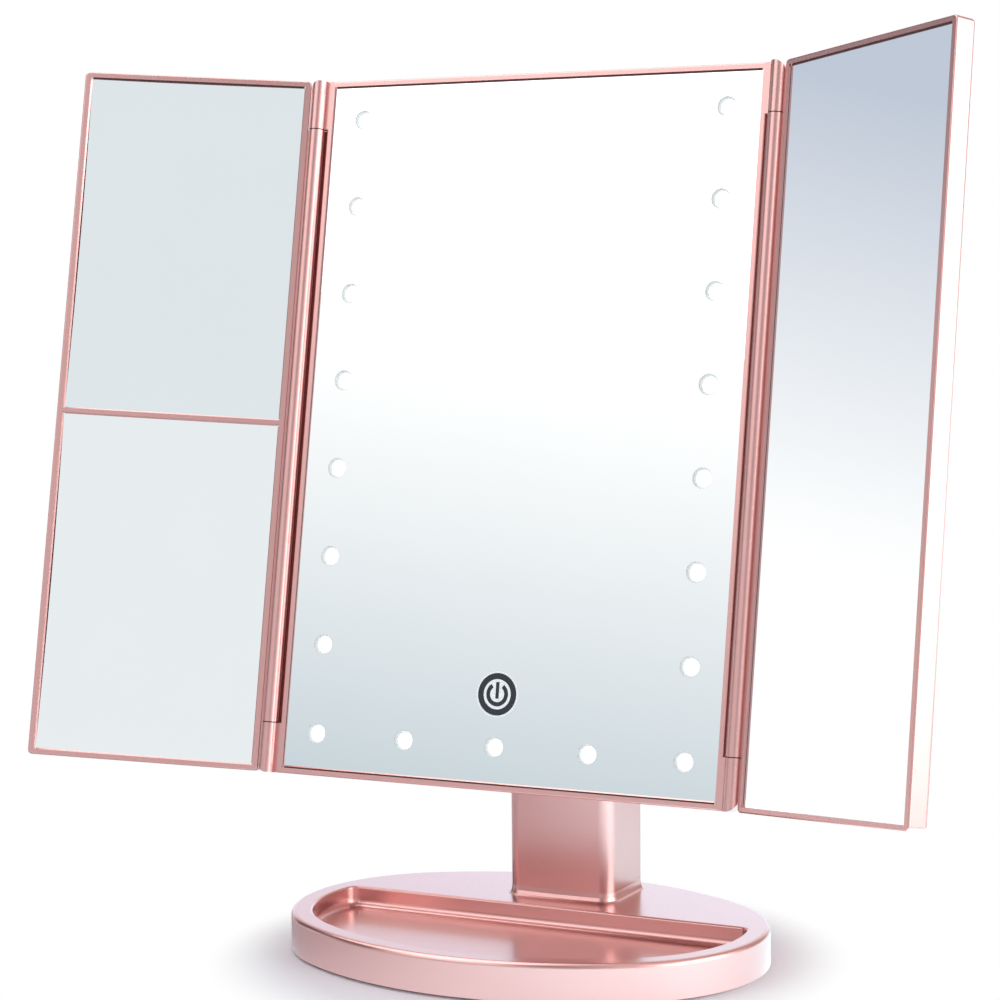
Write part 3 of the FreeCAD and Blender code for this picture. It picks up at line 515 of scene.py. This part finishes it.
@dataclass
class LightCups:
    """The lip of each light's hole in the centre glass and the cup behind it, grey with painted shade that shows
    as a soft crescent.
    """

    place: HeadPlace
    column: float = 64.2
    low_row: float = 11.85
    row_pitch: float = 28.77
    rows: int = 8
    bottom_pitch: float = 32.1
    bottom_count: int = 3
    hole_radius: float = 3.25
    throat_radius: float = 3.0
    floor_radius: float = 2.6
    wall: float = 0.06
    throat: float = 0.7
    recess: float = 1.6
    steps: int = 40

    def places(self) -> list[Vector]:
        """Return the middle of each light, in the head's own millimetres."""
        sides = [Vector((side.value * self.column, 0, self.low_row + row * self.row_pitch))
                 for side in Side for row in range(self.rows)]
        first = -(self.bottom_count - 1) / 2 * self.bottom_pitch
        return sides + [Vector((first + i * self.bottom_pitch, 0, self.low_row))
                        for i in range(self.bottom_count)]

    def funnel(self, wide: float, narrow: float, front: float, back: float) -> bmesh.types.BMesh:
        """Make the funnels of all the lights, which narrow from front to back.

        Args:
            wide: The radius at the front.
            narrow: The radius at the back.
            front: The front's Y.
            back: The back's Y.

        Returns:
            The funnels as one mesh, in the head's own millimetres.
        """
        mesh = bmesh.new()
        section = [(wide - self.wall, front), (wide, front), (narrow, back), (narrow - self.wall, back)]
        for middle in self.places():
            add_ring(mesh, middle, section, steps=self.steps)
        return mesh

    def build(self) -> list[bpy.types.Object]:
        """Make the lips and the cups.

        Returns:
            The lips and the cups, each as one piece.
        """
        front = self.place.glass_front
        throat = front + self.throat
        # The lip and cup of each light are grey with painted shade, a soft crescent inside the light
        lips = self.funnel(self.hole_radius, self.throat_radius, front, throat)
        cups = self.funnel(self.throat_radius, self.floor_radius, throat, front + self.recess)
        place = self.place.matrix()
        return [
            make_piece("light_hole_lips", lips, place, Body.HEAD, HOLE_LIP_SHADE),
            make_piece("light_cups", cups, place, Body.HEAD, CUP_SHADE),
        ]


@dataclass
class HingeWashers:
    """The dark washer in each seam between a fixed knuckle and its wing's barrel."""

    place: HeadPlace
    seams: tuple[float, float] = (14.425, 210.175)
    inner: float = 1.05
    outer: float = 2.45
    thickness: float = 0.3

    def build(self) -> bpy.types.Object:
        """Make the four washers, drawn with their axis along Y and then stood up.

        Returns:
            The washers as one piece.
        """
        mesh = bmesh.new()
        hinge = self.place.hinge_reach()
        half = self.thickness / 2
        for side in Side:
            for seam in self.seams:
                add_ring(mesh, Vector((side.value * hinge, seam, self.place.hinge_front)),
                         square(self.inner, self.outer, seam - half, seam + half))
        upright = self.place.matrix() @ Matrix.Rotation(QUARTER_TURN, 4, "X")
        return make_piece("hinge_washers", mesh, upright, Body.HEAD, ACETAL)


class Edge(Enum):
    """The edges of a glass; inner is the edge at the hinge, or the left one of the centre glass."""

    TOP = "top"
    BOTTOM = "bottom"
    INNER = "inner"
    OUTER = "outer"


LEVEL_EDGES = (Edge.TOP, Edge.BOTTOM)
SIDE_EDGES = (Edge.INNER, Edge.OUTER)


@dataclass(frozen=True)
class Pane:
    """One glass: what it spans, and which of its edges show a dark line of painted shade or the bezel's slanted
    lip.
    """

    name: str
    body: Body
    across: tuple[float, float]
    rows: tuple[float, float]
    painted: tuple[Edge, ...]
    lipped: tuple[Edge, ...]

    def ends(self, edge: Edge) -> tuple[Vector, Vector, Vector]:
        """Find where an edge runs.

        Args:
            edge: Which edge.

        Returns:
            Its two ends, and the way from it towards the glass's middle.
        """
        (left, right), (low, high) = self.across, self.rows
        return {
            Edge.TOP: (Vector((left, 0, high)), Vector((right, 0, high)), Vector((0, 0, -1))),
            Edge.BOTTOM: (Vector((left, 0, low)), Vector((right, 0, low)), Vector((0, 0, 1))),
            Edge.INNER: (Vector((left, 0, low)), Vector((left, 0, high)), Vector((1, 0, 0))),
            Edge.OUTER: (Vector((right, 0, low)), Vector((right, 0, high)), Vector((-1, 0, 0))),
        }[edge]


@dataclass
class GlassEdges:
    """The edge of each glass in its bezel: a dark line of painted shade from the bezel, or the bezel's slanted
    lip.
    """

    place: HeadPlace
    view_half: float = 75.65
    wing_view: tuple[float, float] = (4.95, 78.2)
    rows: tuple[float, float] = (0.0, 224.6)
    divider: float = 1.4
    left_fold: float = 19.4
    right_fold: float = 31.3
    level_paint_front: float = 0.6
    level_paint_width: float = 0.5
    side_paint_front: float = 0.74
    side_paint_width: float = 0.1
    lip_front: float = 0.45
    lip_width: float = 0.4
    back: float = 0.85
    corner_gap: float = 0.56

    def panes(self) -> list[Pane]:
        """Return the four glasses, each in its own panel's millimetres."""
        low, high = self.rows
        middle = (low + high) / 2
        half = self.divider / 2
        return [
            Pane("center", Body.HEAD, (-self.view_half, self.view_half), self.rows,
                 painted=LEVEL_EDGES + SIDE_EDGES, lipped=(Edge.BOTTOM,)),
            Pane("left_lower", Body.LEFT_WING, self.wing_view, (low, middle - half),
                 painted=(), lipped=LEVEL_EDGES + SIDE_EDGES),
            Pane("left_upper", Body.LEFT_WING, self.wing_view, (middle + half, high),
                 painted=(Edge.TOP,), lipped=(Edge.BOTTOM,) + SIDE_EDGES),
            Pane("right", Body.RIGHT_WING, self.wing_view, self.rows,
                 painted=(Edge.TOP,) + SIDE_EDGES, lipped=()),
        ]

    def wing_matrix(self, side: Side, fold: float) -> Matrix:
        """Find where a wing stands.

        Args:
            side: Which wing.
            fold: How far it is folded in, in degrees.

        Returns:
            The way from its own millimetres, hinge at the start and +X outwards, to the shared frame.
        """
        spot = Matrix.Translation((side.value * self.place.hinge_reach(), -self.place.hinge_front, 0))
        turn = Matrix.Rotation(-side.value * math.radians(fold), 4, "Z")
        flip = Matrix.Scale(side.value, 4, (1, 0, 0))
        return self.place.matrix() @ spot @ turn @ flip

    def add_strip(self, mesh: bmesh.types.BMesh, pane: Pane, edge: Edge, section: Section) -> None:
        """Lay a strip along one edge of a glass.

        Args:
            mesh: The mesh that gets the strip.
            pane: The glass.
            edge: Which of its edges.
            section: The strip's corners in order, each a distance from the edge and a Y.
        """
        start, end, inward = pane.ends(edge)
        run = (end - start).normalized()
        rows = []
        for spot in (start + run * self.corner_gap, end - run * self.corner_gap):
            rows.append([mesh.verts.new(spot + inward * reach + Vector((0, y, 0))) for reach, y in section])
        for i in range(len(section)):
            j = (i + 1) % len(section)
            mesh.faces.new((rows[0][i], rows[0][j], rows[1][j], rows[1][i]))
        for row in rows:
            mesh.faces.new(row)

    def paint_section(self, edge: Edge) -> Section:
        """Return the section of the line of painted shade along an edge."""
        if edge in LEVEL_EDGES:
            return square(0.0, self.level_paint_width, self.level_paint_front, self.back)
        return square(0.0, self.side_paint_width, self.side_paint_front, self.back)

    def build(self) -> list[bpy.types.Object]:
        """Make the painted lines and the lips of all the glasses.

        Returns:
            A piece for each glass's lines and one for its lips, where it has them.
        """
        places = {Body.HEAD: self.place.matrix(),
                  Body.LEFT_WING: self.wing_matrix(Side.LEFT, self.left_fold),
                  Body.RIGHT_WING: self.wing_matrix(Side.RIGHT, self.right_fold)}
        made = []
        for pane in self.panes():
            lines, lips = bmesh.new(), bmesh.new()
            # Dark lines of painted shade along the edges that the bezel shades
            for edge in pane.painted:
                self.add_strip(lines, pane, edge, self.paint_section(edge))
            for edge in pane.lipped:
                near = self.level_paint_width if edge in pane.painted else 0.0
                self.add_strip(lips, pane, edge, [(near, self.lip_front), (near + self.lip_width, self.back),
                                                  (near, self.back)])
            for kind, mesh, finish, slot in (("glass_edge", lines, EDGE_PAINTED_SHADE, "dark_plastic"),
                                             ("bezel_lip", lips, LACQUER, "rose_gold_shell")):
                if mesh.verts:
                    made.append(make_piece(f"{pane.name}_{kind}", mesh, places[pane.body], pane.body,
                                           finish))
                else:
                    mesh.free()
        return made


@dataclass
class CrossScrews:
    """Countersunk screws with a cross recess, in place of the plain ones that show from behind."""

    place: HeadPlace
    radius: float = 2.4
    height: float = 1.1
    rim: float = 0.12
    rim_steps: int = 2
    shank: float = 1.2
    tip: float = 0.5
    arm: float = 1.45
    slot: float = 0.6
    recess: float = 0.85
    recess_taper: float = 0.3
    head_sides: int = 48
    shank_sides: int = 20
    flat: float = 1e-4
    pocket_half: float = 76.3
    boss_reach: float = 2.1
    boss_rows: tuple[float, float, float] = (30.0, 112.3, 194.6)
    head_face: float = 9.8
    head_bite: float = 3.8
    yoke_x: float = 27.91
    yoke_rise: float = 16.0
    yoke_face: float = 26.0
    yoke_bite: float = 8.0
    cover_place: tuple[float, float, float] = (0.0, 48.3, 137.075)

    def add_screw(self, mesh: bmesh.types.BMesh, head: Vector, bite: float) -> None:
        """Add one screw whose head faces +Y.

        Args:
            mesh: The mesh that gets the screw.
            head: The middle of its head's top.
            bite: The shank's length.
        """
        one = bmesh.new()
        bmesh.ops.create_cone(one, cap_ends=True, segments=self.head_sides, radius1=self.shank,
                              radius2=self.radius, depth=self.height,
                              matrix=Matrix.Translation((0, 0, -self.height / 2)))
        rim = [e for e in one.edges if all(self.on_top(v) for v in e.verts)]
        bmesh.ops.bevel(one, geom=rim, offset=self.rim, affect="EDGES", segments=self.rim_steps,
                        profile=0.5, material=-1)
        self.sink_cross(one)
        bmesh.ops.create_cone(one, cap_ends=True, segments=self.shank_sides, radius1=self.tip,
                              radius2=self.shank, depth=bite,
                              matrix=Matrix.Translation((0, 0, -self.height - bite / 2)))
        turn = Matrix.Rotation(-QUARTER_TURN, 4, "X")
        bmesh.ops.transform(one, matrix=Matrix.Translation(head) @ turn, verts=one.verts)
        data = bpy.data.meshes.new("screw_blank")
        one.to_mesh(data)
        one.free()
        mesh.from_mesh(data)
        bpy.data.meshes.remove(data)

    def sink_cross(self, one: bmesh.types.BMesh) -> None:
        """Cut the outline of the cross into a head's flat top, and sink it.

        Args:
            one: The screw's head, top at the start and facing +Z.
        """
        for axis in (Vector((1, 0, 0)), Vector((0, 1, 0))):
            for reach in (-self.arm, -self.slot / 2, self.slot / 2, self.arm):
                top = [f for f in one.faces if all(self.on_top(v) for v in f.verts)]
                edges = list({e for f in top for e in f.edges})
                verts = list({v for f in top for v in f.verts})
                bmesh.ops.bisect_plane(one, geom=top + edges + verts, plane_co=axis * reach, plane_no=axis)
        cross = [f for f in one.faces if self.in_recess(f)]
        grown = bmesh.ops.extrude_face_region(one, geom=cross)["geom"]
        sunk = [g for g in grown if isinstance(g, bmesh.types.BMVert)]
        bmesh.ops.delete(one, geom=cross, context="FACES")
        bmesh.ops.scale(one, vec=(self.recess_taper, self.recess_taper, 1), verts=sunk)
        bmesh.ops.translate(one, vec=(0, 0, -self.recess), verts=sunk)

    def on_top(self, vert: bmesh.types.BMVert) -> bool:
        """Return whether a corner lies on the head's flat top."""
        return vert.co.z > -self.flat

    def in_recess(self, face: bmesh.types.BMFace) -> bool:
        """Tell the cross from the rest of the head.

        Args:
            face: A face of the head.

        Returns:
            Whether it lies on the flat top, inside the cross.
        """
        if not all(self.on_top(v) for v in face.verts):
            return False
        middle = face.calc_center_median()
        near, far = sorted((abs(middle.x), abs(middle.y)))
        return near < self.slot / 2 and far < self.arm

    def build(self) -> list[bpy.types.Object]:
        """Make the screws of the back shell, of the yoke and of the post's cover.

        Returns:
            One piece for each of the three sets.
        """
        back, yoke, cover = bmesh.new(), bmesh.new(), bmesh.new()
        column = self.pocket_half - self.boss_reach
        for side in Side:
            for row in self.boss_rows:
                self.add_screw(back, Vector((side.value * column, self.head_face, row)), self.head_bite)
            for rise in (-self.yoke_rise, self.yoke_rise):
                self.add_screw(yoke, Vector((side.value * self.yoke_x, self.yoke_face,
                                             self.place.pivot_above_view + rise)), self.yoke_bite)
        self.add_screw(cover, Vector(self.cover_place), self.head_bite)
        head, stand = self.place.matrix(), Matrix.Scale(METRES_PER_MM, 4)
        made = [
            make_piece("back_shell_screws", back, head, Body.HEAD, STEEL),
            make_piece("yoke_cross_screws", yoke, head, Body.HEAD, STEEL),
            make_piece("post_cover_cross_screw", cover, stand, Body.STAND, STEEL),
        ]
        for piece, node in zip(made, ("head_screws", "yoke_screws", "post_cover_screw")):
            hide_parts(node)
        return made


@dataclass(frozen=True)
class Softbox:
    """A soft light that faces the mirror: angles in degrees, sizes in metres; a glare of 1 looks white."""

    name: str
    colour: str
    turn: float
    rise: float
    distance: float
    width: float
    height: float
    glare: float

    def hang(self, target: Vector) -> None:
        """Hang the light; its turn runs from the front towards the right, its rise from the horizon up.

        Args:
            target: The point that it faces.
        """
        data = bpy.data.lights.new(self.name, "AREA")
        data.shape = "RECTANGLE"
        data.color = linear(self.colour)[:3]
        data.size, data.size_y = self.width, self.height
        data.energy = self.glare * math.pi * self.width * self.height
        lamp = bpy.data.objects.new(self.name, data)
        across, up = math.radians(self.turn), math.radians(self.rise)
        way = Vector((math.sin(across) * math.cos(up), -math.cos(across) * math.cos(up), math.sin(up)))
        lamp.location = target + way * self.distance
        lamp.rotation_mode = "QUATERNION"
        lamp.rotation_quaternion = (-way).to_track_quat("-Z", "Y")
        bpy.context.scene.collection.objects.link(lamp)


@dataclass(frozen=True)
class Flat:
    """A coloured flat of the studio, in degrees: its sectors of turn from +X and its fade in height."""

    colour: str
    sectors: tuple[tuple[float, float], ...]
    ramp: tuple[float, float] = (-90.0, -80.0)
    amount: tuple[float, float] = (0.0, 1.0)
    softness: float = 6.0

    def share(self, tree: bpy.types.NodeTree, turn: bpy.types.Node, rise: bpy.types.Node,
              sector: tuple[float, float]) -> bpy.types.NodeSocket:
        """Find how much of the flat shows in a direction.

        Args:
            tree: The world's node tree.
            turn: The direction's turn from +X, in radians.
            rise: Its rise above the horizon, in radians.
            sector: Which of the flat's sectors.

        Returns:
            The share, from 0 to 1.
        """
        soft = math.radians(self.softness)
        low, high = (math.radians(a) for a in sector)
        start = add(tree, "ShaderNodeMapRange", {"Value": turn.outputs[0], "From Min": low - soft,
                                                 "From Max": low + soft}, interpolation_type="SMOOTHSTEP")
        end = add(tree, "ShaderNodeMapRange", {"Value": turn.outputs[0], "From Min": high + soft,
                                               "From Max": high - soft}, interpolation_type="SMOOTHSTEP")
        climb = add(tree, "ShaderNodeMapRange", {"Value": rise.outputs[0],
                                                 "From Min": math.radians(self.ramp[0]),
                                                 "From Max": math.radians(self.ramp[1]),
                                                 "To Min": self.amount[0], "To Max": self.amount[1]})
        span = add(tree, "ShaderNodeMath", {0: start.outputs[0], 1: end.outputs[0]}, operation="MULTIPLY")
        shown = add(tree, "ShaderNodeMath", {0: span.outputs[0], 1: climb.outputs[0]}, operation="MULTIPLY")
        return shown.outputs[0]


# The left of the studio, on both sides of the turn where the angle starts again
LEFT_WALL = ((-210.0, -150.0), (150.0, 210.0))


@dataclass
class Studio:
    """The camera at the photograph's place, a white floor, four soft lights and pale surroundings."""

    camera_place: tuple[float, float, float] = (374.14, -757.5, 218.47)
    right: tuple[float, float, float] = (0.8968, 0.4423, -0.0090)
    up: tuple[float, float, float] = (-0.0304, 0.0819, 0.9962)
    forward: tuple[float, float, float] = (-0.4413, 0.8931, -0.0869)
    focal_pixels: float = 2670.2
    axis_pixel: tuple[float, float] = (523.05, 506.16)
    sensor_mm: float = 36.0
    floor_half: float = 12.0
    target: tuple[float, float, float] = (0.0, 0.0, 0.12)
    soft_level: float = 0.3
    surround_level: float = 1.03
    softboxes: tuple[Softbox, ...] = (
        Softbox("softbox_right", "#FFFFFF", 87.0, 14.0, 1.5, 1.6, 1.4, 2.5),
        Softbox("softbox_over", "#FFFFFF", -60.0, 60.0, 1.6, 1.3, 1.3, 1.8),
        Softbox("softbox_front_left", "#FFFFFF", -28.0, 30.0, 3.0, 2.4, 1.15, 0.8),
        Softbox("softbox_back_left", "#84CEFF", -154.0, 6.0, 2.5, 2.4, 0.7, 0.7),
    )
    flats: tuple[Flat, ...] = (
        # Warm cloths behind the mirror, for the hinge barrels and the post
        Flat("#F0E0DD", ((116.0, 160.0),)),
        Flat("#C4AAA4", ((46.0, 82.0),)),
        # On the left a blue-grey wall, dark above and white overhead, for the right wing
        Flat("#BFC7D5", LEFT_WALL, (5.0, 15.0)),
        Flat("#23272E", LEFT_WALL, (17.0, 18.5)),
        Flat("#23272E", ((-163.0, -146.0), (152.0, 170.0))),
        Flat("#FFFFFF", LEFT_WALL, (42.0, 50.0)),
        # In front a blue-grey card that ends above, for the centre glass
        Flat("#BDCAD1", ((-138.0, -98.0),), (16.2, 6.0)),
        # Beside it a pale card with dark above, for the left wing, and a grey one round the camera
        Flat("#C8D3D8", ((-98.0, -60.0),), (10.0, 24.0), (0.42, 0.76)),
        Flat("#33373E", ((-98.0, -60.0),), (25.0, 29.0)),
        Flat("#B4B9C0", ((-77.0, -58.0),)),
    )

    def build(self) -> None:
        """Make everything round the object."""
        bpy.context.scene.view_settings.view_transform = "Standard"
        self.make_camera()
        self.make_floor()
        self.make_world()
        for softbox in self.softboxes:
            softbox.hang(Vector(self.target))

    def make_camera(self) -> None:
        """Stand the camera where the photograph was taken from."""
        data = bpy.data.cameras.new("photo_camera")
        data.sensor_width = self.sensor_mm
        data.lens = self.sensor_mm * self.focal_pixels / IMAGE_SIZE
        data.shift_x = (IMAGE_SIZE / 2 - self.axis_pixel[0]) / IMAGE_SIZE
        data.shift_y = (self.axis_pixel[1] - IMAGE_SIZE / 2) / IMAGE_SIZE
        camera = bpy.data.objects.new("photo_camera", data)
        turn = Matrix((self.right, self.up, [-c for c in self.forward])).transposed()
        spot = Vector(self.camera_place) * METRES_PER_MM
        camera.matrix_world = Matrix.Translation(spot) @ turn.to_4x4()
        bpy.context.scene.collection.objects.link(camera)
        bpy.context.scene.camera = camera

    def make_floor(self) -> None:
        """Lay a wide white floor under the pad."""
        mesh = bmesh.new()
        bmesh.ops.create_grid(mesh, x_segments=1, y_segments=1, size=self.floor_half)
        data = bpy.data.meshes.new("studio_floor")
        mesh.to_mesh(data)
        mesh.free()
        data.materials.append(FLOOR.material())
        floor = bpy.data.objects.new("studio_floor", data)
        bpy.context.scene.collection.objects.link(floor)

    def make_world(self) -> None:
        """Surround the mirror with white, and with the flats that its glasses and its lacquer show."""
        world = bpy.data.worlds.new("studio")
        bpy.context.scene.world = world
        world.use_nodes = True
        tree = world.node_tree
        tree.nodes.clear()
        way = add(tree, "ShaderNodeSeparateXYZ", {0: add(tree, "ShaderNodeTexCoord").outputs["Generated"]})
        turn = add(tree, "ShaderNodeMath", {0: way.outputs["Y"], 1: way.outputs["X"]}, operation="ARCTAN2")
        rise = add(tree, "ShaderNodeMath", {0: way.outputs["Z"]}, operation="ARCSINE")
        seen = linear(WHITE)
        for flat in self.flats:
            for sector in flat.sectors:
                mixed = add(tree, "ShaderNodeMix", {"Factor": flat.share(tree, turn, rise, sector), "A": seen,
                                                    "B": linear(flat.colour)}, data_type="RGBA")
                seen = mixed.outputs["Result"]
        camera, shiny = split_rays(tree)
        soft = add(tree, "ShaderNodeBackground", {"Color": linear(WHITE), "Strength": self.soft_level})
        surround = add(tree, "ShaderNodeBackground", {"Color": seen, "Strength": self.surround_level})
        plain = add(tree, "ShaderNodeBackground", {"Color": linear(WHITE), "Strength": 1.0})
        lit = add(tree, "ShaderNodeMixShader", {0: shiny, 1: soft.outputs[0], 2: surround.outputs[0]})
        shown = add(tree, "ShaderNodeMixShader", {0: camera, 1: lit.outputs[0], 2: plain.outputs[0]})
        add(tree, "ShaderNodeOutputWorld", {"Surface": shown.outputs[0]})


def main() -> None:
    """Dress the model, build its pieces and set the studio round it."""
    logging.basicConfig(level=logging.INFO, format="%(message)s")
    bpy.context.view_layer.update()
    dress_nodes()
    place = HeadPlace()
    TouchSign(place).build()
    LightCups(place).build()
    HingeWashers(place).build()
    GlassEdges(place).build()
    CrossScrews(place).build()
    Studio().build()


if __name__ == "__main__":
    main()
